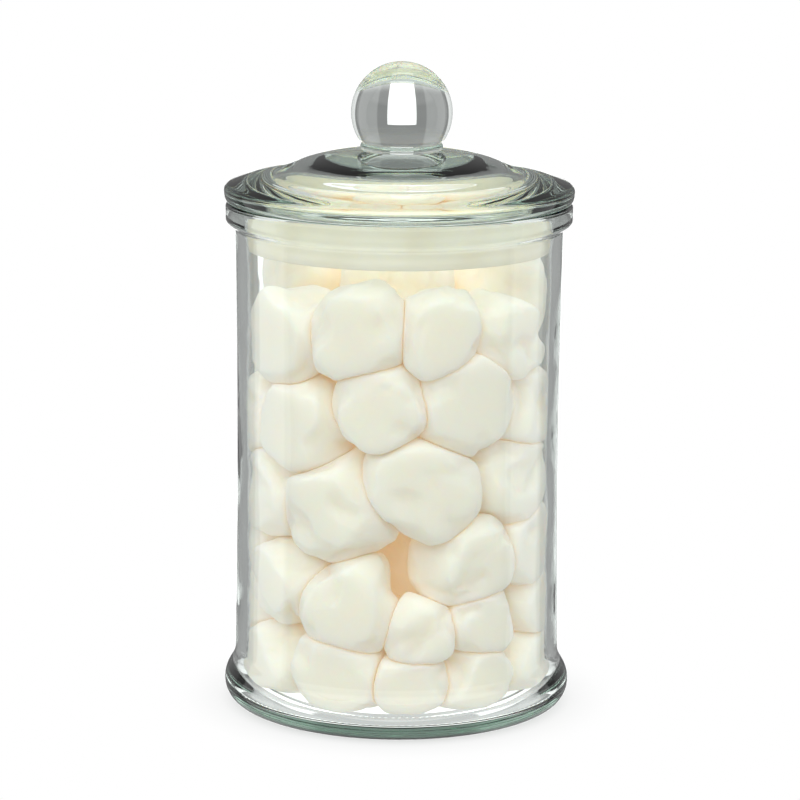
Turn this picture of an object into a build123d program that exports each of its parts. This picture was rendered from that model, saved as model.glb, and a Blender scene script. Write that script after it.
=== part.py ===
from build123d import *
import math
import os

# Apothecary jar of moulded glass, filled with cotton balls, in millimetres.
# Origin: centre of the foot, on the surface the jar stands on. +Z is up, -Y is the front.

# ---- driving dimensions ---------------------------------------------------------------
JAR_HEIGHT = 163.4        # foot to the top of the mouth bead, where the lid rests
FOOT_R = 56.0             # widest radius of the flared foot
FOOT_WIDEST_Z = 6.6
FLARE_TOP_Z = 17.5
WALL_BOTTOM_R = 52.6      # outer radius where the flare ends
WALL_MID_R = 51.8         # the wall is slightly waisted halfway up
WALL_TOP_R = 52.4
WALL = 3.2                # wall thickness
FLOOR_Z = 4.2             # top of the glass floor inside
FLOOR_FLAT_R = 47.0       # the floor is flat inside this radius
HEEL_INNER_R = 52.2       # widest radius of the cavity, inside the flare
HEEL_INNER_Z = 8.8

BEAD_R = 55.4             # mouth bead
BEAD_BOTTOM_Z = 155.0
BEAD_ROUND = 2.6
LIP_ROUND = 1.6
MOUTH_CHAMFER = 1.0

BEARING_OUTER_R = 50.3    # flat ring the jar stands on
BEARING_INNER_R = 43.5
PUSH_UP = 1.5             # height of the recess inside the bearing ring

LID_R = 55.9
LID_WIDEST_Z = 166.9
LID_GAP = 0.05            # between the lid's flange and the jar's lip
LID_UNDER_R = 54.2        # where the rim's underside turns flat
RIM_TOP_R = 52.8          # where the rounded rim meets the sloping shoulder ring
RIM_TOP_Z = 169.5
DOME_FOOT_R = 39.0        # where the shoulder ring meets the raised dome
DOME_FOOT_Z = 173.3
SHOULDER_R = 28.5
SHOULDER_Z = 177.0
DOME_THICKNESS = 5.0      # the dome's sloping part is an even shell
CENTRE_UNDER_R = 22.0     # flat middle of the underside, thicker glass below the knob
CENTRE_UNDER_Z = 172.8
PLUG_OUTER_R = 46.3       # collar under the lid that reaches into the mouth
PLUG_INNER_R = 42.8
PLUG_BOTTOM_Z = 150.8
PLUG_ROUND = 1.0

RIM_SLOPE = 20.0          # rise of the lid's top towards the middle, in degrees
DOME_FOOT_SLOPE = 13.0
SHOULDER_SLOPE = 15.0
COLLAR_SLOPE = 6.0

COLLAR_R = 13.0           # short neck that carries the knob
COLLAR_BULGE = 0.2
COLLAR_FOOT_Z = 179.7
COLLAR_TOP_Z = 181.7
COLLAR_TOP_R = 12.9
KNOB_R = 16.2
KNOB_CENTRE_Z = 191.5
KNOB_JOIN_Z = 183.2       # where the ball runs into the collar
NECK_IN_ANGLE = 140.0     # the neck leaves the collar inwards
NECK_OUT_ANGLE = 20.0     # and runs out under the ball

RING_INNER_R = 46.4       # moulded sealing ring stretched over the plug
RING_CORE_R = 47.9
RING_RIB_R = 48.75
RING_BOTTOM_Z = 149.0
RING_TOP_Z = 163.2
RING_RIBS = 4
RIB_HEIGHT = 1.6

COTTON_CLEARANCE = 0.3    # between cotton and glass
COTTON_GAP = 0.2          # between pressed neighbours
HALF_SPACE = 60.0         # size of the blocks that flatten a ball

# ---- outlines -------------------------------------------------------------------------
OUTWARD = 0.0             # directions in the profile plane, in degrees
UP = 90.0
INWARD = 180.0
DOWN = 270.0
EASE = 0.4                # how far a curve keeps its end direction, as a share of its chord
ARC_MIDDLE = 1 - math.sqrt(0.5)   # inset of a quarter round's middle, as a share of its radius


def at(radius, height):
    """A point of an outline, given by its radius and height."""
    return Vector(radius, 0, height)


def curve(start, start_angle, end, end_angle):
    """A smooth curve between two points that leaves and arrives in the given directions."""
    reach = EASE * (end - start).length
    leave = math.radians(start_angle)
    arrive = math.radians(end_angle)
    first = start + at(reach * math.cos(leave), reach * math.sin(leave))
    second = end - at(reach * math.cos(arrive), reach * math.sin(arrive))
    return Bezier(start, first, second, end)


def corner_round(start, corner, end):
    """A quarter round between two points either side of a square corner."""
    middle = corner + (start - corner) * ARC_MIDDLE + (end - corner) * ARC_MIDDLE
    return ThreePointArc(start, middle, end)


def revolve_profile(edges):
    """A solid of revolution about Z from a closed outline in the XZ plane."""
    return revolve(make_face(Wire(edges)), Axis.Z)


def wall_outer_radius(z):
    """Outer radius of the waisted wall, a parabola through its three driving radii."""
    u = (z - FLARE_TOP_Z) / (BEAD_BOTTOM_Z - FLARE_TOP_Z)
    low = WALL_BOTTOM_R * (1 - u) * (1 - 2 * u)
    middle = 4 * WALL_MID_R * u * (1 - u)
    high = WALL_TOP_R * u * (2 * u - 1)
    return low + middle + high


def cavity_outline(clearance, top_z):
    """The inside of the jar from its top down to the axis at the floor, less a clearance."""
    inset = WALL + clearance
    middle_z = (FLARE_TOP_Z + top_z) / 2
    top = at(wall_outer_radius(top_z) - inset, top_z)
    middle = at(wall_outer_radius(middle_z) - inset, middle_z)
    flare = at(WALL_BOTTOM_R - inset, FLARE_TOP_Z)
    heel = at(HEEL_INNER_R - clearance, HEEL_INNER_Z)
    floor_edge = at(FLOOR_FLAT_R, FLOOR_Z + clearance)
    return [
        ThreePointArc(top, middle, flare),
        curve(flare, DOWN, heel, DOWN),
        curve(heel, DOWN, floor_edge, INWARD),
        Line(floor_edge, at(0, FLOOR_Z + clearance)),
    ]


# ---- glass ----------------------------------------------------------------------------
def make_jar_body():
    """Glass jar: flared foot, waisted wall, rolled bead round the mouth, thin floor."""
    foot = at(FOOT_R, FOOT_WIDEST_Z)
    flare = at(WALL_BOTTOM_R, FLARE_TOP_Z)
    wall_middle_z = (FLARE_TOP_Z + BEAD_BOTTOM_Z) / 2
    wall_top = at(WALL_TOP_R, BEAD_BOTTOM_Z)
    bead_corner = at(BEAD_R, BEAD_BOTTOM_Z)
    bead_low = at(BEAD_R, BEAD_BOTTOM_Z + BEAD_ROUND)
    bead_high = at(BEAD_R, JAR_HEIGHT - LIP_ROUND)
    lip_corner = at(BEAD_R, JAR_HEIGHT)
    lip_outer = at(BEAD_R - LIP_ROUND, JAR_HEIGHT)
    mouth_r = WALL_TOP_R - WALL
    lip_inner = at(mouth_r + MOUTH_CHAMFER, JAR_HEIGHT)
    mouth_top = at(mouth_r, JAR_HEIGHT - MOUTH_CHAMFER)
    mouth_low = at(mouth_r, BEAD_BOTTOM_Z)
    recess_edge = at(BEARING_INNER_R - PUSH_UP, PUSH_UP)
    recess_corner = at(BEARING_INNER_R, PUSH_UP)
    bearing_inner = at(BEARING_INNER_R, 0)
    bearing_outer = at(BEARING_OUTER_R, 0)
    edges = [
        Line(bearing_inner, bearing_outer),
        curve(bearing_outer, OUTWARD, foot, UP),
        curve(foot, UP, flare, UP),
        ThreePointArc(flare, at(WALL_MID_R, wall_middle_z), wall_top),
        corner_round(wall_top, bead_corner, bead_low),
        Line(bead_low, bead_high),
        corner_round(bead_high, lip_corner, lip_outer),
        Line(lip_outer, lip_inner),
        Line(lip_inner, mouth_top),
        Line(mouth_top, mouth_low),
        *cavity_outline(0, BEAD_BOTTOM_Z),
        Line(at(0, FLOOR_Z), at(0, PUSH_UP)),
        Line(at(0, PUSH_UP), recess_edge),
        corner_round(recess_edge, recess_corner, bearing_inner),
    ]
    return revolve_profile(edges)


def make_lid():
    """Lid: rounded rim, sloping shoulder ring, raised dome and a hollow plug collar."""
    under_z = JAR_HEIGHT + LID_GAP
    flange = at(PLUG_OUTER_R, under_z)
    rim_under = at(LID_UNDER_R, under_z)
    rim = at(LID_R, LID_WIDEST_Z)
    rim_top = at(RIM_TOP_R, RIM_TOP_Z)
    dome_foot = at(DOME_FOOT_R, DOME_FOOT_Z)
    shoulder = at(SHOULDER_R, SHOULDER_Z)
    collar = at(COLLAR_R, COLLAR_FOOT_Z)
    shell = at(0, DOME_THICKNESS)
    centre_under = at(CENTRE_UNDER_R, CENTRE_UNDER_Z)
    plug_root = at(PLUG_INNER_R, under_z)
    plug_inner = at(PLUG_INNER_R, PLUG_BOTTOM_Z + PLUG_ROUND)
    plug_tip = at((PLUG_INNER_R + PLUG_OUTER_R) / 2, PLUG_BOTTOM_Z)
    plug_outer = at(PLUG_OUTER_R, PLUG_BOTTOM_Z + PLUG_ROUND)
    edges = [
        Line(flange, rim_under),
        curve(rim_under, OUTWARD, rim, UP),
        curve(rim, UP, rim_top, INWARD - RIM_SLOPE),
        curve(rim_top, INWARD - RIM_SLOPE, dome_foot, INWARD - DOME_FOOT_SLOPE),
        curve(dome_foot, INWARD - DOME_FOOT_SLOPE, shoulder, INWARD - SHOULDER_SLOPE),
        curve(shoulder, INWARD - SHOULDER_SLOPE, collar, INWARD - COLLAR_SLOPE),
        Line(collar, at(0, COLLAR_FOOT_Z)),
        Line(at(0, COLLAR_FOOT_Z), at(0, CENTRE_UNDER_Z)),
        Line(at(0, CENTRE_UNDER_Z), centre_under),
        curve(centre_under, OUTWARD, shoulder - shell, -SHOULDER_SLOPE),
        curve(shoulder - shell, -SHOULDER_SLOPE, dome_foot - shell, -DOME_FOOT_SLOPE),
        curve(dome_foot - shell, -DOME_FOOT_SLOPE, plug_root, DOWN),
        Line(plug_root, plug_inner),
        ThreePointArc(plug_inner, plug_tip, plug_outer),
        Line(plug_outer, flange),
    ]
    return revolve_profile(edges)


def make_knob():
    """Solid glass ball on a short collar that is fused to the middle of the dome."""
    join_drop = KNOB_CENTRE_Z - KNOB_JOIN_Z
    join = at(math.sqrt(KNOB_R ** 2 - join_drop ** 2), KNOB_JOIN_Z)
    top = at(0, KNOB_CENTRE_Z + KNOB_R)
    foot = at(COLLAR_R, COLLAR_FOOT_Z)
    collar_bulge = at(COLLAR_R + COLLAR_BULGE, (COLLAR_FOOT_Z + COLLAR_TOP_Z) / 2)
    collar_top = at(COLLAR_TOP_R, COLLAR_TOP_Z)
    edges = [
        Line(at(0, COLLAR_FOOT_Z), foot),
        ThreePointArc(foot, collar_bulge, collar_top),
        curve(collar_top, NECK_IN_ANGLE, join, NECK_OUT_ANGLE),
        ThreePointArc(join, at(KNOB_R, KNOB_CENTRE_Z), top),
        Line(top, at(0, COLLAR_FOOT_Z)),
    ]
    return revolve_profile(edges)


def upright_disc(radius, low_z, high_z):
    """A cylinder on the jar's axis between two heights."""
    centre_z = (low_z + high_z) / 2
    return Pos(0, 0, centre_z) * Cylinder(radius, high_z - low_z)


def make_seal_ring():
    """Translucent sleeve on the plug, with low ribs that grip the inside of the mouth."""
    sleeve = upright_disc(RING_CORE_R, RING_BOTTOM_Z, RING_TOP_Z)
    pitch = (RING_TOP_Z - RING_BOTTOM_Z - RIB_HEIGHT) / (RING_RIBS - 1)
    for number in range(RING_RIBS):
        rib_z = RING_BOTTOM_Z + number * pitch
        sleeve += upright_disc(RING_RIB_R, rib_z, rib_z + RIB_HEIGHT)
    return sleeve - upright_disc(RING_INNER_R, RING_BOTTOM_Z - 1, RING_TOP_Z + 1)


# ---- cotton ---------------------------------------------------------------------------
# Balls that lie against the glass at the front: angle from the front (positive to the
# right), height of the centre, radius.
FRONT_BALLS = [
    (-25, 15, 13.5), (-68, 14, 12.5), (5, 16, 10.5), (37, 14, 11.5), (76, 15, 12.5),
    (-23, 39, 13.0), (-86, 34, 12.0), (10, 33, 10.0), (38, 31, 11.0), (80, 37, 12.5),
    (-58, 44, 12.5), (-88, 56, 12.0), (33, 54, 13.0), (66, 56, 12.5),
    (-29, 71, 15.5), (7, 78, 14.5), (-68, 72, 13.5), (60, 79, 13.5),
    (-47, 98, 13.0), (-5, 104, 12.5), (30, 105, 14.5), (70, 98, 13.5), (-82, 96, 13.0),
    (-19, 128, 14.0), (18, 128, 13.0), (-58, 124, 13.5), (56, 124, 13.5),
]
BACK_LAYERS = 5
BACK_PER_LAYER = 4
BACK_DISTANCE = 32.0      # of the centres from the axis, before settling
BACK_R = 15.5
BACK_STEP = 36.0          # degrees between neighbours of a layer
BACK_STAGGER = 16.0       # degrees that every other layer is turned
BACK_LIFT = 5.0           # every other ball of a layer lies this much higher
CORE_BALLS = 5            # a column in the middle
CORE_DISTANCE = 6.0
CORE_R = 15.5
SETTLE_ROUNDS = 160
HELD = 0.04               # how far a front ball gives way, beside a free one
PLUMP = 1.17              # balls are this much fuller than their listed radius
SQUEEZE = 0.73            # neighbours press together to this share of their full spacing

COTTON_WALL_R = WALL_MID_R - WALL - COTTON_CLEARANCE
COTTON_FLOOR = FLOOR_Z + COTTON_CLEARANCE
COTTON_CEILING = RING_BOTTOM_Z - COTTON_CLEARANCE


class Ball:
    """One cotton ball before it is pressed against its neighbours."""

    def __init__(self, angle, distance, height, radius, placed):
        turn = math.radians(angle)
        self.centre = Vector(distance * math.sin(turn), -distance * math.cos(turn), height)
        self.radius = PLUMP * radius
        self.placed = placed

    def keep_inside(self):
        """Pulls the centre back so that the ball presses a little into the glass at most."""
        margin = SQUEEZE * self.radius
        sideways = max(math.hypot(self.centre.X, self.centre.Y), 1.0)
        shrink = min(1.0, (COTTON_WALL_R - margin) / sideways)
        height = min(max(self.centre.Z, COTTON_FLOOR + margin), COTTON_CEILING - margin)
        self.centre = Vector(self.centre.X * shrink, self.centre.Y * shrink, height)

    def give(self, push):
        """Moves away from a neighbour, only a little when the ball is a placed one."""
        self.centre += push * (HELD if self.placed else 1.0)


def starting_balls():
    """Front balls in their places, the back and the core in loose staggered layers."""
    balls = []
    for angle, height, radius in FRONT_BALLS:
        balls.append(Ball(angle, COTTON_WALL_R - SQUEEZE * PLUMP * radius, height, radius, True))
    layer_height = (COTTON_CEILING - COTTON_FLOOR) / BACK_LAYERS
    for layer in range(BACK_LAYERS):
        height = COTTON_FLOOR + (layer + 0.5) * layer_height
        turned = 180 + BACK_STAGGER * (layer % 2 - 0.5)
        for place in range(BACK_PER_LAYER):
            angle = turned + BACK_STEP * (place - (BACK_PER_LAYER - 1) / 2)
            lift = BACK_LIFT * (place % 2)
            balls.append(Ball(angle, BACK_DISTANCE, height + lift, BACK_R - 0.5 * (place % 3), False))
    core_height = (COTTON_CEILING - COTTON_FLOOR) / CORE_BALLS
    for number in range(CORE_BALLS):
        height = COTTON_FLOOR + (number + 0.5) * core_height
        balls.append(Ball(90 * number, CORE_DISTANCE, height, CORE_R, False))
    return balls


def settle(balls):
    """Pushes overlapping balls apart until the heap is at rest."""
    for _ in range(SETTLE_ROUNDS):
        for index, first in enumerate(balls):
            for second in balls[index + 1:]:
                offset = second.centre - first.centre
                overlap = SQUEEZE * (first.radius + second.radius) - offset.length
                if overlap > 0:
                    push = offset.normalized() * (overlap / 2)
                    first.give(-push)
                    second.give(push)
        for ball in balls:
            ball.keep_inside()


def make_cotton_space():
    """The space that cotton may fill, from the floor to the sealing ring."""
    wall_and_floor = cavity_outline(COTTON_CLEARANCE, COTTON_CEILING)
    top = wall_and_floor[0] @ 0
    axis_line = Line(at(0, COTTON_FLOOR), at(0, COTTON_CEILING))
    ceiling = Line(at(0, COTTON_CEILING), top)
    return revolve_profile([*wall_and_floor, axis_line, ceiling])


def flatten(shape, ball, neighbour):
    """Cuts a ball back to the plane where it presses on a neighbour, less half the gap."""
    offset = neighbour.centre - ball.centre
    distance = offset.length
    if distance >= ball.radius + neighbour.radius + COTTON_GAP:
        return shape
    share = (distance ** 2 + ball.radius ** 2 - neighbour.radius ** 2) / (2 * distance)
    direction = offset.normalized()
    cut_centre = ball.centre + direction * (share - COTTON_GAP / 2 + HALF_SPACE / 2)
    block = Plane(origin=cut_centre, z_dir=direction) * Box(HALF_SPACE, HALF_SPACE, HALF_SPACE)
    return shape - block


def make_cotton_ball(ball, balls, space):
    """One ball, flattened by its neighbours, the wall, the floor and the ring."""
    facing_axis = math.degrees(math.atan2(-ball.centre.Y, -ball.centre.X))
    shape = Pos(ball.centre) * Rot(0, 0, facing_axis) * Sphere(ball.radius)
    for neighbour in balls:
        if neighbour is not ball:
            shape = flatten(shape, ball, neighbour)
    return shape & space


def main():
    os.makedirs("parts", exist_ok=True)
    nodes = {
        "jar_body": make_jar_body(),
        "lid": make_lid(),
        "lid_knob": make_knob(),
        "seal_ring": make_seal_ring(),
    }
    balls = starting_balls()
    settle(balls)
    space = make_cotton_space()
    for number, ball in enumerate(balls, start=1):
        nodes[f"cotton_ball_{number:02d}"] = make_cotton_ball(ball, balls, space)
    for name, shape in nodes.items():
        export_step(shape, f"parts/{name}.step")


main()
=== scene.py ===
import math
import random

import bmesh
import bpy
from mathutils import Matrix, Vector, noise
from mathutils.kdtree import KDTree


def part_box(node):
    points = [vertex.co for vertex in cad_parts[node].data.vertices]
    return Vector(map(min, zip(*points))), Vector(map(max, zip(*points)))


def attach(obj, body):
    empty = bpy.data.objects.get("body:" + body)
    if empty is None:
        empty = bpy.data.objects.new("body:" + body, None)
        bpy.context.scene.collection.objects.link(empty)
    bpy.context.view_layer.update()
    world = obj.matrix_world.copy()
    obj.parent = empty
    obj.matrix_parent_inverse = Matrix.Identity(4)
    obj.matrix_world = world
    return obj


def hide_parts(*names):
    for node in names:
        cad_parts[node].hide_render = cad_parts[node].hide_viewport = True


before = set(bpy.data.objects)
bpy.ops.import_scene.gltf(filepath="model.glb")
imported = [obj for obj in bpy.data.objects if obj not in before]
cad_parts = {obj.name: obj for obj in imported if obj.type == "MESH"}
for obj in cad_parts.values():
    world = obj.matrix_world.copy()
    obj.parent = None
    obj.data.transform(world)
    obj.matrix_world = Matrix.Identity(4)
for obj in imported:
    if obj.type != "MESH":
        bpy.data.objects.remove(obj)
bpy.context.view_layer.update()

# Apothecary jar: clear pressed glass with a ball-knob lid, a milky sealing ring and a filling of
# cotton balls, on a white sweep. The CAD frame gives the pieces, their places and their bodies.

MM = 0.001
ROUND, KNOB_ROUND, RING_ROUND = 320, 192, 256      # segments of the turned meshes
AXIS = 1e-6                 # a radius below this, in millimetres, lies on the axis


# ---- outlines of the glass, in millimetres, as (radius, height) points ----------------
OUTWARD, UP, INWARD, DOWN = 0, 90, 180, 270    # directions in the profile, in degrees
EASE = 0.4                                     # as in the frame: the share of a curve's chord


def curve(start, start_angle, end, end_angle, count):
    """Points of a smooth curve that leaves and arrives in given directions, first one left out."""
    reach = EASE * math.dist(start, end)
    leave, arrive = math.radians(start_angle), math.radians(end_angle)
    first = (start[0] + reach * math.cos(leave), start[1] + reach * math.sin(leave))
    second = (end[0] - reach * math.cos(arrive), end[1] - reach * math.sin(arrive))
    points = []
    for i in range(1, count + 1):
        t = i / count
        weights = ((1 - t) ** 3, 3 * t * (1 - t) ** 2, 3 * t * t * (1 - t), t ** 3)
        corners = (start, first, second, end)
        points.append(tuple(sum(w * c[axis] for w, c in zip(weights, corners)) for axis in (0, 1)))
    return points


def line(start, end, count):
    return [(start[0] + (end[0] - start[0]) * i / count, start[1] + (end[1] - start[1]) * i / count)
            for i in range(1, count + 1)]


JAR_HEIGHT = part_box("jar_body")[1][2] / MM
FOOT_R, FOOT_WIDEST_Z, FLARE_TOP_Z = 56.0, 6.6, 17.5
WALL_BOTTOM_R, WALL_MID_R, WALL_TOP_R, WALL = 52.6, 51.8, 52.4, 3.2
FLOOR_Z, FLOOR_FLAT_R, HEEL_INNER_R, HEEL_INNER_Z = 4.2, 47.0, 52.2, 8.8
BEAD_R, BEAD_BOTTOM_Z, BEAD_ROUND, LIP_ROUND = 55.4, 155.0, 3.1, 1.8
BEARING_OUTER_R, BEARING_INNER_R, PUSH_UP = 50.3, 43.5, 1.5
MOUTH_R, MOUTH_ROUND = WALL_TOP_R - WALL, 1.2
BEAD_FILLET = 0.6           # the wall starts to run out into the bead this far below it


def wall_radius(z):
    """Outer radius of the slightly waisted wall."""
    u = (z - FLARE_TOP_Z) / (BEAD_BOTTOM_Z - FLARE_TOP_Z)
    return (WALL_BOTTOM_R * (1 - u) * (1 - 2 * u) + 4 * WALL_MID_R * u * (1 - u)
            + WALL_TOP_R * u * (2 * u - 1))


def wall_points(low, high, inset, count):
    """Points along the wall from one height to another, the first left out."""
    heights = [low + (high - low) * i / count for i in range(1, count + 1)]
    return [(min(wall_radius(z), WALL_BOTTOM_R) - inset, z) for z in heights]


def jar_outline():
    p = [(0, PUSH_UP)]
    p += line(p[-1], (BEARING_INNER_R - PUSH_UP, PUSH_UP), 12)
    p += curve(p[-1], OUTWARD, (BEARING_INNER_R, 0), DOWN, 6)
    p += line(p[-1], (BEARING_OUTER_R, 0), 12)
    p += curve(p[-1], OUTWARD, (FOOT_R, FOOT_WIDEST_Z), UP, 16)
    p += curve(p[-1], UP, (WALL_BOTTOM_R, FLARE_TOP_Z), UP, 16)
    p += wall_points(FLARE_TOP_Z, BEAD_BOTTOM_Z - BEAD_FILLET, 0, 60)
    p += curve(p[-1], UP, (BEAD_R, BEAD_BOTTOM_Z + BEAD_ROUND), UP, 16)
    p += line(p[-1], (BEAD_R, JAR_HEIGHT - LIP_ROUND), 4)
    p += curve(p[-1], UP, (BEAD_R - LIP_ROUND, JAR_HEIGHT), INWARD, 8)
    p += line(p[-1], (MOUTH_R + MOUTH_ROUND, JAR_HEIGHT), 4)
    p += curve(p[-1], INWARD, (MOUTH_R, JAR_HEIGHT - MOUTH_ROUND), DOWN, 6)
    p += line(p[-1], (MOUTH_R, BEAD_BOTTOM_Z), 5)
    p += wall_points(BEAD_BOTTOM_Z, FLARE_TOP_Z, WALL, 60)
    p += curve(p[-1], DOWN, (HEEL_INNER_R, HEEL_INNER_Z), DOWN, 12)
    p += curve(p[-1], DOWN, (FLOOR_FLAT_R, FLOOR_Z), INWARD, 12)
    p += line(p[-1], (0, FLOOR_Z), 14)
    return p


LID_R, LID_WIDEST_Z, LID_UNDER_R = 55.9, 166.9, 54.2
UNDER_Z = JAR_HEIGHT + 0.05      # the lid's flange rests just above the mouth
RIM_TOP, DOME_FOOT, SHOULDER = (52.8, 169.5), (39.0, 173.3), (28.5, 177.0)
RIM_SLOPE, DOME_FOOT_SLOPE, SHOULDER_SLOPE, COLLAR_SLOPE = 20.0, 13.0, 15.0, 6.0
PLUG_OUTER_R, PLUG_INNER_R, PLUG_ROUND, DOME_THICKNESS = 46.3, 42.8, 1.2, 5.0
PLUG_BOTTOM_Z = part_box("lid")[0][2] / MM
CENTRE_UNDER = (22.0, 172.8)     # edge of the flat middle of the underside
COLLAR_R, COLLAR_FOOT_Z = 13.0, 179.7
KNOB_R, KNOB_JOIN_Z = 16.2, 183.2
KNOB_CENTRE_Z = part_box("lid_knob")[1][2] / MM - KNOB_R
KNOB_OFFSET = 0.6           # the ball was fused on a little off the middle
KNOB_SINK = 0.05            # overlap that closes the joint between collar and dome
COLLAR_INSET = 0.1
COLLAR_RISE = 2.0           # height of the collar's bulge
PLUG_FILLET = 0.8           # where the plug's outside meets the flange


def under(point):
    """The point of the lid's underside below a point of the dome's even shell."""
    return point[0], point[1] - DOME_THICKNESS


def lid_outline():
    collar = (COLLAR_R, COLLAR_FOOT_Z)
    p = [(0, COLLAR_FOOT_Z)]
    p += line(p[-1], collar, 8)
    p += curve(p[-1], -COLLAR_SLOPE, SHOULDER, -SHOULDER_SLOPE, 18)
    p += curve(p[-1], -SHOULDER_SLOPE, DOME_FOOT, -DOME_FOOT_SLOPE, 18)
    p += curve(p[-1], -DOME_FOOT_SLOPE, RIM_TOP, -RIM_SLOPE, 18)
    p += curve(p[-1], -RIM_SLOPE, (LID_R, LID_WIDEST_Z), DOWN, 10)
    p += curve(p[-1], DOWN, (LID_UNDER_R, UNDER_Z), INWARD, 10)
    p += line(p[-1], (PLUG_OUTER_R + PLUG_FILLET, UNDER_Z), 6)
    p += curve(p[-1], INWARD, (PLUG_OUTER_R, UNDER_Z - PLUG_FILLET), DOWN, 4)
    p += line(p[-1], (PLUG_OUTER_R, PLUG_BOTTOM_Z + PLUG_ROUND), 10)
    p += curve(p[-1], DOWN, ((PLUG_OUTER_R + PLUG_INNER_R) / 2, PLUG_BOTTOM_Z), INWARD, 6)
    p += curve(p[-1], INWARD, (PLUG_INNER_R, PLUG_BOTTOM_Z + PLUG_ROUND), UP, 6)
    p += line(p[-1], (PLUG_INNER_R, UNDER_Z), 10)
    p += curve(p[-1], UP, under(DOME_FOOT), INWARD - DOME_FOOT_SLOPE, 12)
    p += curve(p[-1], INWARD - DOME_FOOT_SLOPE, under(SHOULDER), INWARD - SHOULDER_SLOPE, 18)
    p += curve(p[-1], INWARD - SHOULDER_SLOPE, CENTRE_UNDER, INWARD, 12)
    p += line(p[-1], (0, CENTRE_UNDER[1]), 10)
    return p


def knob_outline():
    drop = KNOB_CENTRE_Z - KNOB_JOIN_Z
    side, foot = COLLAR_R - COLLAR_INSET, COLLAR_FOOT_Z - KNOB_SINK
    p = [(0, foot)]
    p += line(p[-1], (side, foot), 8)
    p += curve(p[-1], 60, (side, foot + COLLAR_RISE), 120, 8)
    p += curve(p[-1], 140, (math.sqrt(KNOB_R ** 2 - drop ** 2), KNOB_JOIN_Z), 20, 10)
    start, steps = math.asin(-drop / KNOB_R), 70
    for i in range(1, steps + 1):
        a = start + (math.pi / 2 - start) * i / steps
        p.append((KNOB_R * math.cos(a), KNOB_CENTRE_Z + KNOB_R * math.sin(a)))
    return p


RING_INNER_R, RING_CORE_R, RING_RIB_R, RING_RIBS = 46.4, 48.05, 48.25, 4
RING_LOW, RING_HIGH = (corner[2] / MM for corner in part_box("seal_ring"))


def ring_outline():
    steps = 40
    p = [(RING_INNER_R, RING_LOW)]
    for i in range(steps + 1):
        z = RING_LOW + (RING_HIGH - RING_LOW) * i / steps
        swell = math.sin(math.pi * RING_RIBS * i / steps) ** 2
        p.append((RING_CORE_R + (RING_RIB_R - RING_CORE_R) * swell, z))
    p.append((RING_INNER_R, RING_HIGH))
    p += line(p[-1], (RING_INNER_R, RING_LOW), 20)[:-1]
    return p


def lathe(name, outline, segments, shape=None, fineness=None):
    """A smooth turned mesh. The outline may start and end on the axis, where it is capped; shape
    moves a point, and fineness multiplies the segments of single rings."""
    bm = bmesh.new()
    rings = []
    for radius, z in outline:
        count = segments * (fineness(radius, z) if fineness else 1)
        ring = []
        for i in range(count if radius > AXIS else 0):
            a = 2 * math.pi * i / count
            r, h = shape(radius, a, z) if shape else (radius, z)
            ring.append(bm.verts.new((r * math.cos(a) * MM, r * math.sin(a) * MM, h * MM)))
        if ring:
            rings.append(ring)
    pairs = list(zip(rings, rings[1:]))
    if outline[0][0] > AXIS:
        pairs.append((rings[-1], rings[0]))
    else:
        bm.faces.new(rings[0])
        bm.faces.new(rings[-1])
    for low, high in pairs:
        cells = min(len(low), len(high))
        for i in range(cells):
            bm.faces.new(span(low, i, cells) + span(high, i, cells)[::-1])
    bmesh.ops.recalc_face_normals(bm, faces=bm.faces[:])
    for face in bm.faces:
        face.smooth = True
    mesh = bpy.data.meshes.new(name)
    bm.to_mesh(mesh)
    bm.free()
    piece = bpy.data.objects.new(name, mesh)
    bpy.context.scene.collection.objects.link(piece)
    return piece


def span(ring, cell, cells):
    """The stretch of a ring that borders one cell of the mesh."""
    step = len(ring) // cells
    return [ring[(cell * step + k) % len(ring)] for k in range(step + 1)]


# ---- materials ------------------------------------------------------------------------
def new_material(name):
    material = bpy.data.materials.new(name)
    material.use_nodes = True
    tree = material.node_tree
    tree.nodes.clear()
    return material, tree, tree.nodes.new("ShaderNodeOutputMaterial")


def math_node(tree, operation, *values):
    node = tree.nodes.new("ShaderNodeMath")
    node.operation = operation
    for index, value in enumerate(values):
        if isinstance(value, (int, float)):
            node.inputs[index].default_value = value
        else:
            tree.links.new(value, node.inputs[index])
    return node.outputs[0]


def map_range(tree, value, low, high):
    """0 at low and 1 at high, easing in and out; low may be the larger one."""
    node = tree.nodes.new("ShaderNodeMapRange")
    node.interpolation_type = "SMOOTHSTEP"
    tree.links.new(value, node.inputs["Value"])
    node.inputs["From Min"].default_value = min(low, high)
    node.inputs["From Max"].default_value = max(low, high)
    if low > high:
        return math_node(tree, "SUBTRACT", 1.0, node.outputs["Result"])
    return node.outputs["Result"]


def principled(nodes, colour, **settings):
    """A Principled shader with a base colour and other inputs, underscores standing for spaces."""
    shader = nodes.new("ShaderNodeBsdfPrincipled")
    shader.inputs["Base Color"].default_value = (*colour, 1)
    for setting, value in settings.items():
        shader.inputs[setting.replace("_", " ")].default_value = value
    return shader


def noise_texture(tree, scale, detail):
    """Noise that follows the piece, at a scale given per metre."""
    place = tree.nodes.new("ShaderNodeTexCoord")
    texture = tree.nodes.new("ShaderNodeTexNoise")
    texture.inputs["Scale"].default_value = scale
    texture.inputs["Detail"].default_value = detail
    tree.links.new(place.outputs["Object"], texture.inputs["Vector"])
    return texture.outputs["Fac"]


def add_bump(tree, height, strength, distance, shader):
    bump = tree.nodes.new("ShaderNodeBump")
    bump.inputs["Strength"].default_value = strength
    bump.inputs["Distance"].default_value = distance
    tree.links.new(height, bump.inputs["Height"])
    tree.links.new(bump.outputs["Normal"], shader.inputs["Normal"])


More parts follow.
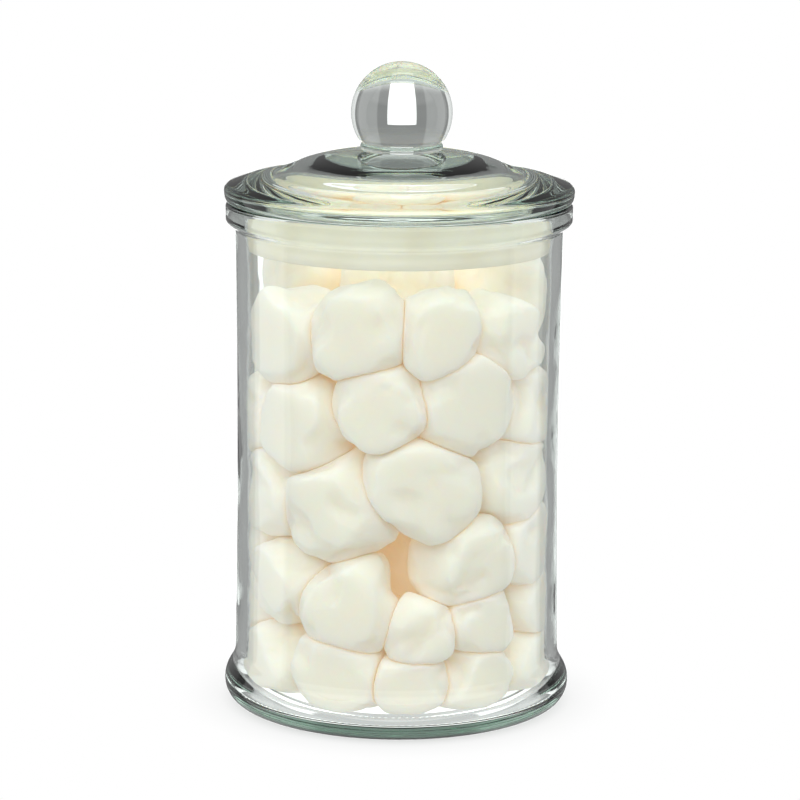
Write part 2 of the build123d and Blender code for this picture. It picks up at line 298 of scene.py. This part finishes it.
def mix_shaders(tree, factor, first, second, out):
    """The first shader where the factor is 0 and the second where it is 1, as the surface."""
    mix = tree.nodes.new("ShaderNodeMixShader")
    tree.links.new(factor, mix.inputs["Fac"])
    tree.links.new(first.outputs[0], mix.inputs[1])
    tree.links.new(second.outputs[0], mix.inputs[2])
    tree.links.new(mix.outputs[0], out.inputs["Surface"])


GLASS_COLOUR = (0.99, 1.0, 0.995)
GLASS_SHADE = (0.97, 0.97, 0.955)       # what one wall of glass leaves of a lamp's light
GLASS_TINT = (0.42, 0.78, 0.60)


def glass_material(name, density):
    """Clear pressed glass, faintly green where it is thick; lamps shine straight through."""
    material, tree, out = new_material(name)
    nodes = tree.nodes
    glass = principled(nodes, GLASS_COLOUR, Roughness=0.0, IOR=1.5, Transmission_Weight=1.0)
    add_bump(tree, noise_texture(tree, 90, 1.5), 0.12, 0.0004, glass)
    clear = nodes.new("ShaderNodeBsdfTransparent")
    clear.inputs["Color"].default_value = (*GLASS_SHADE, 1)
    ray = nodes.new("ShaderNodeLightPath")
    straight = math_node(tree, "MAXIMUM", ray.outputs["Is Shadow Ray"],
                         ray.outputs["Is Diffuse Ray"])
    mix_shaders(tree, straight, glass, clear, out)
    tint = nodes.new("ShaderNodeVolumeAbsorption")
    tint.inputs["Color"].default_value = (*GLASS_TINT, 1)
    tint.inputs["Density"].default_value = density
    tree.links.new(tint.outputs[0], out.inputs["Volume"])
    return material


SEAL_COLOUR = (0.945, 0.915, 0.82)


def seal_material():
    """Milky flexible plastic that light soaks into and passes through softly."""
    material, tree, out = new_material("milky_seal")
    skin = principled(tree.nodes, SEAL_COLOUR, Roughness=0.4, Subsurface_Weight=1.0,
                      Subsurface_Radius=(1.0, 0.9, 0.7), Subsurface_Scale=0.003)
    through = tree.nodes.new("ShaderNodeBsdfTranslucent")
    through.inputs["Color"].default_value = (*SEAL_COLOUR, 1)
    cloud = math_node(tree, "MULTIPLY", noise_texture(tree, 60, 2), 0.7)
    mix_shaders(tree, map_range(tree, cloud, 0.0, 1.0), skin, through, out)
    return material


COTTON_COLOUR = (0.95, 0.895, 0.80)
# painted shade: deep and creased cotton is painted in this warmer, darker colour
COTTON_PAINTED_SHADE_COLOUR = (0.955, 0.885, 0.765)
# painted glow: the colour of the glow painted deep in the heap and in tight creases
COTTON_PAINTED_GLOW_COLOUR = (0.95, 0.77, 0.56)
OPEN_R, DEEP_R = 0.044, 0.020           # cotton counts as deep from the first radius inwards
CREASE_PAINTED_SHADE = 0.3
DEEP_PAINTED_GLOW = 0.07                        # painted glow that stands in for light soaked through the cotton around it
CREASE_PAINTED_GLOW = 0.06


def cotton_material():
    """Cotton wool: bright warm white with a fine nap; deep in the heap and in the creases a warmer
    painted shade is mixed into its colour, and a painted honey-coloured glow stands in for
    soaked-through light."""
    material, tree, out = new_material("cotton_wool")
    nodes, links = tree.nodes, tree.links
    place = nodes.new("ShaderNodeTexCoord")
    split = nodes.new("ShaderNodeSeparateXYZ")
    links.new(place.outputs["Object"], split.inputs[0])
    squares = [math_node(tree, "MULTIPLY", split.outputs[i], split.outputs[i]) for i in (0, 1)]
    from_axis = math_node(tree, "SQRT", math_node(tree, "ADD", *squares))
    # painted shade and painted glow grow from the open cotton towards the middle of the heap
    deep = map_range(tree, from_axis, OPEN_R, DEEP_R)
    crease = nodes.new("ShaderNodeAttribute")
    crease.attribute_name = "crease"
    crease_shade = math_node(tree, "MULTIPLY", crease.outputs["Fac"], CREASE_PAINTED_SHADE)
    # painted shade: the colour turns warmer and darker deep in the heap and in the creases
    painted_shade_ramp = nodes.new("ShaderNodeValToRGB")
    painted_shade_ramp.color_ramp.elements[0].color = (*COTTON_COLOUR, 1)
    painted_shade_ramp.color_ramp.elements[1].color = (*COTTON_PAINTED_SHADE_COLOUR, 1)
    links.new(math_node(tree, "MAXIMUM", deep, crease_shade), painted_shade_ramp.inputs["Fac"])
    wool = principled(nodes, COTTON_COLOUR, Roughness=1.0, Specular_IOR_Level=0.0,
                      Subsurface_Weight=1.0, Subsurface_Radius=(1.0, 0.8, 0.6),
                      Subsurface_Scale=0.010, Emission_Color=(*COTTON_PAINTED_GLOW_COLOUR, 1))
    links.new(painted_shade_ramp.outputs[0], wool.inputs["Base Color"])
    add_bump(tree, noise_texture(tree, 900, 3), 0.25, 0.0003, wool)
    # painted glow: the cotton glows in tight creases and deep in the heap, though it is no lamp
    tight = map_range(tree, crease.outputs["Fac"], 0.30, 0.85)
    glow = math_node(tree, "MAXIMUM", math_node(tree, "MULTIPLY", tight, CREASE_PAINTED_GLOW),
                     math_node(tree, "MULTIPLY", deep, DEEP_PAINTED_GLOW))
    links.new(glow, wool.inputs["Emission Strength"])
    links.new(wool.outputs[0], out.inputs["Surface"])
    return material


# ---- pieces ---------------------------------------------------------------------------
def finish_piece(piece, body, slot, material, *nodes):
    piece.data.materials.clear()
    piece.data.materials.append(material)
    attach(piece, body)
    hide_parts(*nodes)


STIPPLES = 132              # little slanted ridges round the bearing ring
STIPPLE_DEPTH = 0.35
STIPPLE_SLANT = 0.9         # turn of a ridge, in ridges per millimetre of radius
BEARING_MIDDLE_R = (BEARING_OUTER_R + BEARING_INNER_R) / 2
STIPPLE_HALF = 1.9          # half the width of the stippled band
GROUND = 0.01               # points below this height stand on the ground
WAVE_DEPTH = 0.14           # of the slow waves in the wall
WAVES_ROUND = 2.6
WAVE_HEIGHT = 24
WAVE_FADE_LOW, WAVE_FADE_HIGH = 12, 8      # the waves fade out towards the wall's ends
ON_WALL = 0.3               # a point this close to the wall's inside lies on it
FINE = 4                    # how much finer the mesh is round the stipples


def jar_shape(radius, angle, z):
    """Slow waves on the inside of the wall, and the stippled ring that the jar stands on."""
    x, y = math.cos(angle), math.sin(angle)
    if abs(radius - (wall_radius(z) - WALL)) < ON_WALL and FLARE_TOP_Z < z < BEAD_BOTTOM_Z:
        fade = min(1.0, (z - FLARE_TOP_Z) / WAVE_FADE_LOW, (BEAD_BOTTOM_Z - z) / WAVE_FADE_HIGH)
        spot = Vector((WAVES_ROUND * x, WAVES_ROUND * y, z / WAVE_HEIGHT))
        radius += fade * WAVE_DEPTH * noise.noise(spot)
    across = (radius - BEARING_MIDDLE_R) / STIPPLE_HALF
    if z < GROUND and abs(across) < 1:
        turn = STIPPLES * angle + 2 * math.pi * STIPPLE_SLANT * (radius - BEARING_MIDDLE_R)
        ridge = 0.5 - 0.5 * math.cos(turn)
        z += STIPPLE_DEPTH * ridge * (1 - across * across)
    return radius, z


def jar_fineness(radius, z):
    stippled = z < GROUND and abs(radius - BEARING_MIDDLE_R) < STIPPLE_HALF
    return FINE if stippled else 1


glass = glass_material("jar_glass_clear", 10.0)
knob_glass = glass_material("knob_glass_clear", 3.0)
jar = lathe("glass_jar", jar_outline(), ROUND, jar_shape, jar_fineness)
finish_piece(jar, "jar", "jar_glass", glass, "jar_body")
lid = lathe("glass_lid", lid_outline(), ROUND)
finish_piece(lid, "lid", "jar_glass", glass, "lid")
knob = lathe("glass_knob", knob_outline(), KNOB_ROUND)
knob.data.transform(Matrix.Translation((KNOB_OFFSET * MM, 0, 0)))
finish_piece(knob, "lid", "jar_glass", knob_glass, "lid_knob")
ring = lathe("milky_sealing_ring", ring_outline(), RING_ROUND)
finish_piece(ring, "seal", "seal", seal_material(), "seal_ring")


# ---- cotton balls ---------------------------------------------------------------------
# Values given with MM are in metres; the other lengths are in millimetres.
VOXEL = 1.2 * MM
CREASE_REACH = 4.5 * MM     # a ball closer than this to a neighbour is creased there
LUMP_DEPTH, SMALL_DEPTH, TUFT_DEPTH = 4.0, 0.9, 0.2
LUMP_SIZE, SMALL_SIZE, TUFT_SIZE = 13 * MM, 5 * MM, 1.5 * MM
FOLDS = 3
FOLD_DEPTH = 1.3
FOLD_WIDTH = 0.12           # as a share of the ball's size
FOLD_WANDER, FOLD_WANDER_SIZE = 0.22, 9 * MM
FADE_RATE, FOLD_APART = 1.3, 7      # each fold comes and goes by noise read at its own place
KEEP_CLEAR = 0.05           # of the middle of a gap, on either side
PRESSED = 1.7               # how fast a creased surface fills the gap to its neighbour
EDGE_FADE = 9               # the shared warp fades over this distance from glass, floor and ring
DRIFT_LENGTH = 24.0         # size of the swells of the shared warp
DRIFT_SIZE = 4.0
DRIFT_STARTS = [Vector((0, 0, 0)), Vector((31.4, 7.1, 3.3)), Vector((11.7, 53.2, 19.6))]
COTTON_R = WALL_MID_R - WALL - 0.3          # cotton ends where it touches glass, floor and ring
COTTON_LOW = FLOOR_Z + 0.5
COTTON_HIGH = RING_LOW - 0.5


def pressed_shape(node, name):
    """A smooth even mesh of a CAD ball, as a new object."""
    piece = bpy.data.objects.new(name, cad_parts[node].data.copy())
    bpy.context.scene.collection.objects.link(piece)
    remesh = piece.modifiers.new("remesh", "REMESH")
    remesh.mode = "VOXEL"
    remesh.voxel_size = VOXEL
    smooth = piece.modifiers.new("smooth", "SMOOTH")
    smooth.factor = 0.5
    smooth.iterations = 8
    bpy.context.view_layer.update()
    graph = bpy.context.evaluated_depsgraph_get()
    mesh = bpy.data.meshes.new_from_object(piece.evaluated_get(graph))
    piece.modifiers.clear()
    piece.data = mesh
    return piece


def drift(place):
    """The slow warp that the whole filling shares, so that the balls stay clear of each other."""
    x, y, z = (value / MM for value in place)
    radius = max(math.hypot(x, y), AXIS)
    spot = Vector((x, y, z)) / DRIFT_LENGTH
    push = Vector([noise.noise(spot + start) for start in DRIFT_STARTS]) * DRIFT_SIZE
    outward = Vector((x / radius, y / radius, 0))
    at_wall = ease((COTTON_R - radius) / EDGE_FADE)
    push -= outward * push.dot(outward) * (1 - at_wall)
    push.z *= ease((z - COTTON_LOW) / EDGE_FADE) * ease((COTTON_HIGH - z) / EDGE_FADE)
    return place + push * MM


def ease(value):
    value = min(max(value, 0.0), 1.0)
    return value * value * (3 - 2 * value)


def tease(mesh, centre, size, draw):
    """Works a ball's surface into soft lumps and a few rolled folds. It swells only as far as
    half the gap to a neighbour, the glass, the ring or the floor."""
    shift = Vector([draw.uniform(-50, 50) for _ in range(3)])
    folds = []
    for _ in range(FOLDS):
        tilt = Vector([draw.gauss(0, 1) for _ in range(3)]).normalized()
        folds.append((tilt, draw.uniform(-0.35, 0.35), draw.uniform(0.6, 1.3)))
    creases = [item.value for item in mesh.attributes["crease"].data]
    normals = [vertex.normal.copy() for vertex in mesh.vertices]
    for vertex, normal, crease in zip(mesh.vertices, normals, creases):
        place = vertex.co
        out = (place - centre) / size
        lump = noise.noise(place / LUMP_SIZE + shift)
        small = noise.noise(place / SMALL_SIZE + shift)
        tuft = noise.noise(place / TUFT_SIZE + shift)
        depth = LUMP_DEPTH * (-0.1 - lump) + SMALL_DEPTH * (0.1 - small) + TUFT_DEPTH * (0.2 - tuft)
        wander = FOLD_WANDER * noise.noise(place / FOLD_WANDER_SIZE - shift)
        for tilt, offset, strength in folds:
            across = (out.dot(tilt) - offset + wander) / FOLD_WIDTH
            fade = max(0.0, noise.noise(out * FADE_RATE + tilt * FOLD_APART + shift) + 0.2)
            depth += FOLD_DEPTH * strength * fade * math.exp(-across * across)
        half_gap = (1 - math.sqrt(crease)) * CREASE_REACH / MM / 2
        radius, height = math.hypot(place.x, place.y) / MM, place.z / MM
        room = min(half_gap, COTTON_R - radius, height - COTTON_LOW, COTTON_HIGH - height)
        fullest = KEEP_CLEAR - room
        depth = max(depth, fullest)
        depth += (fullest - depth) * ease(PRESSED * crease)
        vertex.co = drift(place - normal * depth * MM)


def point_tree(mesh):
    tree = KDTree(len(mesh.vertices))
    for index, vertex in enumerate(mesh.vertices):
        tree.insert(vertex.co, index)
    tree.balance()
    return tree


def mark_creases(mesh, others):
    """Stores how close each point is to another ball, from 0 in the open to 1 at a touch."""
    values = []
    for vertex in mesh.vertices:
        nearest = min((tree.find(vertex.co)[2] for tree in others), default=CREASE_REACH)
        values.append(max(0.0, 1 - nearest / CREASE_REACH) ** 2)
    mesh.attributes.new("crease", "FLOAT", "POINT").data.foreach_set("value", values)


def boxes_meet(first, second):
    return all(first[0][i] < second[1][i] and second[0][i] < first[1][i] for i in range(3))


cotton = cotton_material()
ball_nodes = sorted(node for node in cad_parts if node.startswith("cotton_ball"))
balls = {}
for node in ball_nodes:
    balls[node] = pressed_shape(node, node.replace("cotton_ball", "cotton_wool_ball"))
trees = {node: point_tree(ball.data) for node, ball in balls.items()}
boxes = {node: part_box(node) for node in ball_nodes}
for number, (node, ball) in enumerate(balls.items()):
    others = [other for other in ball_nodes if other != node]
    near = [trees[other] for other in others if boxes_meet(boxes[node], boxes[other])]
    mark_creases(ball.data, near)
    low, high = (Vector(corner) for corner in boxes[node])
    tease(ball.data, (low + high) / 2, (high - low).length / 2, random.Random(number))
    subdivision = ball.modifiers.new("subdivision", "SUBSURF")
    subdivision.levels = 1
    subdivision.render_levels = 1
    for polygon in ball.data.polygons:
        polygon.use_smooth = True
    finish_piece(ball, "jar", "cotton", cotton, node)


# ---- studio ---------------------------------------------------------------------------
def band(tree, value, low, high, soft):
    rise = map_range(tree, value, low - soft, low + soft)
    fall = map_range(tree, value, high - soft, high + soft)
    return math_node(tree, "SUBTRACT", rise, fall)


STUDIO_LEVEL = 0.25         # radiance of the bare studio


def studio_world():
    """White to the camera; to the glass a grey studio with tall softboxes at both sides."""
    world = bpy.data.worlds.new("studio")
    bpy.context.scene.world = world
    world.use_nodes = True
    tree = world.node_tree
    tree.nodes.clear()
    links = tree.links
    out = tree.nodes.new("ShaderNodeOutputWorld")
    place = tree.nodes.new("ShaderNodeTexCoord")
    split = tree.nodes.new("ShaderNodeSeparateXYZ")
    links.new(place.outputs["Generated"], split.inputs[0])
    x, y, z = split.outputs
    turn = math_node(tree, "ARCTAN2", x, math_node(tree, "MULTIPLY", y, -1.0))
    azimuth = math_node(tree, "MULTIPLY", math_node(tree, "ABSOLUTE", turn), 180 / math.pi)
    elevation = math_node(tree, "MULTIPLY", math_node(tree, "ARCSINE", z), 180 / math.pi)
    total = None
    zones = [
        # azimuth from the camera's side, elevation, softness (all in degrees), added radiance
        ((-10, 80), (-90, 12), 3, 0.15),
        ((-10, 84), (22, 95), 6, 1.15),
        ((88, 123), (-60, 70), 1.2, 0.72),
        ((133, 160), (-60, 40), 1.0, 0.12),
        ((169, 190), (-35, 2), 0.5, 1.2),
        ((-10, 190), (60, 95), 8, 0.55),
        ((-10, 190), (-95, -28), 6, 0.38),
    ]
    for (az0, az1), (el0, el1), soft, radiance in zones:
        inside = math_node(tree, "MULTIPLY", band(tree, azimuth, az0, az1, soft),
                           band(tree, elevation, el0, el1, soft))
        part = math_node(tree, "MULTIPLY", inside, radiance)
        total = part if total is None else math_node(tree, "ADD", total, part)
    total = math_node(tree, "ADD", total, STUDIO_LEVEL)
    grey = tree.nodes.new("ShaderNodeBackground")
    grey.inputs["Color"].default_value = (1, 1, 1, 1)
    links.new(total, grey.inputs["Strength"])
    white = tree.nodes.new("ShaderNodeBackground")
    white.inputs["Color"].default_value = (1, 1, 1, 1)
    ray = tree.nodes.new("ShaderNodeLightPath")
    mix_shaders(tree, ray.outputs["Is Camera Ray"], grey, white, out)


FLOOR_HALF, FLOOR_DROP = 3.0, 0.0002      # in metres; just below the foot
SHADE_REACH = 0.03                        # how far the contact shade spreads
SHADE_COLOUR = (0.72, 0.73, 0.72)


def pale_floor():
    """A white sweep: the camera sees it with a soft contact shade, the glass looks past it."""
    mesh = bpy.data.meshes.new("floor")
    half = FLOOR_HALF
    mesh.from_pydata([(-half, -half, 0), (half, -half, 0), (half, half, 0), (-half, half, 0)], [],
                     [(0, 1, 2, 3)])
    floor = bpy.data.objects.new("floor", mesh)
    bpy.context.scene.collection.objects.link(floor)
    floor.location.z = -FLOOR_DROP
    material, tree, out = new_material("white_sweep")
    nodes, links = tree.nodes, tree.links
    shade = nodes.new("ShaderNodeAmbientOcclusion")
    shade.samples = 8
    shade.inputs["Distance"].default_value = SHADE_REACH
    painted_shade_ramp = nodes.new("ShaderNodeValToRGB")
    painted_shade_ramp.color_ramp.elements[0].color = (*SHADE_COLOUR, 1)
    painted_shade_ramp.color_ramp.elements[1].position = 0.85
    painted_shade_ramp.color_ramp.elements[1].color = (1, 1, 1, 1)
    links.new(shade.outputs["AO"], painted_shade_ramp.inputs["Fac"])
    glow = nodes.new("ShaderNodeEmission")
    links.new(painted_shade_ramp.outputs[0], glow.inputs["Color"])
    clear = nodes.new("ShaderNodeBsdfTransparent")
    ray = nodes.new("ShaderNodeLightPath")
    mix_shaders(tree, ray.outputs["Is Camera Ray"], clear, glow, out)
    floor.data.materials.append(material)


CAMERA_DISTANCE, CAMERA_HEIGHT = 1.1592, 0.34406      # in metres, from the jar's axis and foot
CAMERA_PITCH, CAMERA_ROLL = 11.97, 0.39               # in degrees
CAMERA_LENS, CAMERA_SHIFT = 165.55, 0.00245


def photo_camera():
    """Looks down on the front of the jar from 1.2 m away."""
    data = bpy.data.cameras.new("camera")
    camera = bpy.data.objects.new("camera", data)
    bpy.context.scene.collection.objects.link(camera)
    data.sensor_width = 36.0
    data.lens = CAMERA_LENS
    data.clip_start = 0.05
    data.shift_x = CAMERA_SHIFT
    camera.location = (0, -CAMERA_DISTANCE, CAMERA_HEIGHT)
    camera.rotation_mode = "XYZ"
    camera.rotation_euler = (math.radians(90 - CAMERA_PITCH), 0, 0)
    camera.rotation_euler.rotate_axis("Z", math.radians(CAMERA_ROLL))
    bpy.context.scene.camera = camera


def fill_lamp(name, place, size, power):
    """A big soft lamp that lights the cotton but isn't mirrored in the glass."""
    data = bpy.data.lights.new(name, "AREA")
    data.size = size
    data.energy = power
    lamp = bpy.data.objects.new(name, data)
    bpy.context.scene.collection.objects.link(lamp)
    lamp.location = place
    target = Vector((0, 0, JAR_HEIGHT * MM / 2))
    lamp.rotation_euler = (target - lamp.location).to_track_quat("-Z", "Y").to_euler()
    lamp.visible_camera = False
    lamp.visible_glossy = False
    lamp.visible_transmission = False


studio_world()
fill_lamp("front_fill", (-0.25, -1.3, 0.8), 1.2, 7.2)
fill_lamp("top_fill", (0.1, 0.1, 1.3), 1.0, 0.6)
fill_lamp("back_fill", (0.5, 1.3, 0.9), 1.2, 4)
pale_floor()
photo_camera()
scene = bpy.context.scene
scene.view_settings.view_transform = "Standard"
scene.cycles.max_bounces = 32
scene.cycles.transmission_bounces = 24
scene.cycles.diffuse_bounces = 12
scene.cycles.glossy_bounces = 6
scene.cycles.transparent_max_bounces = 32
scene.cycles.caustics_reflective = False
scene.cycles.caustics_refractive = False
scene.cycles.use_denoising = True
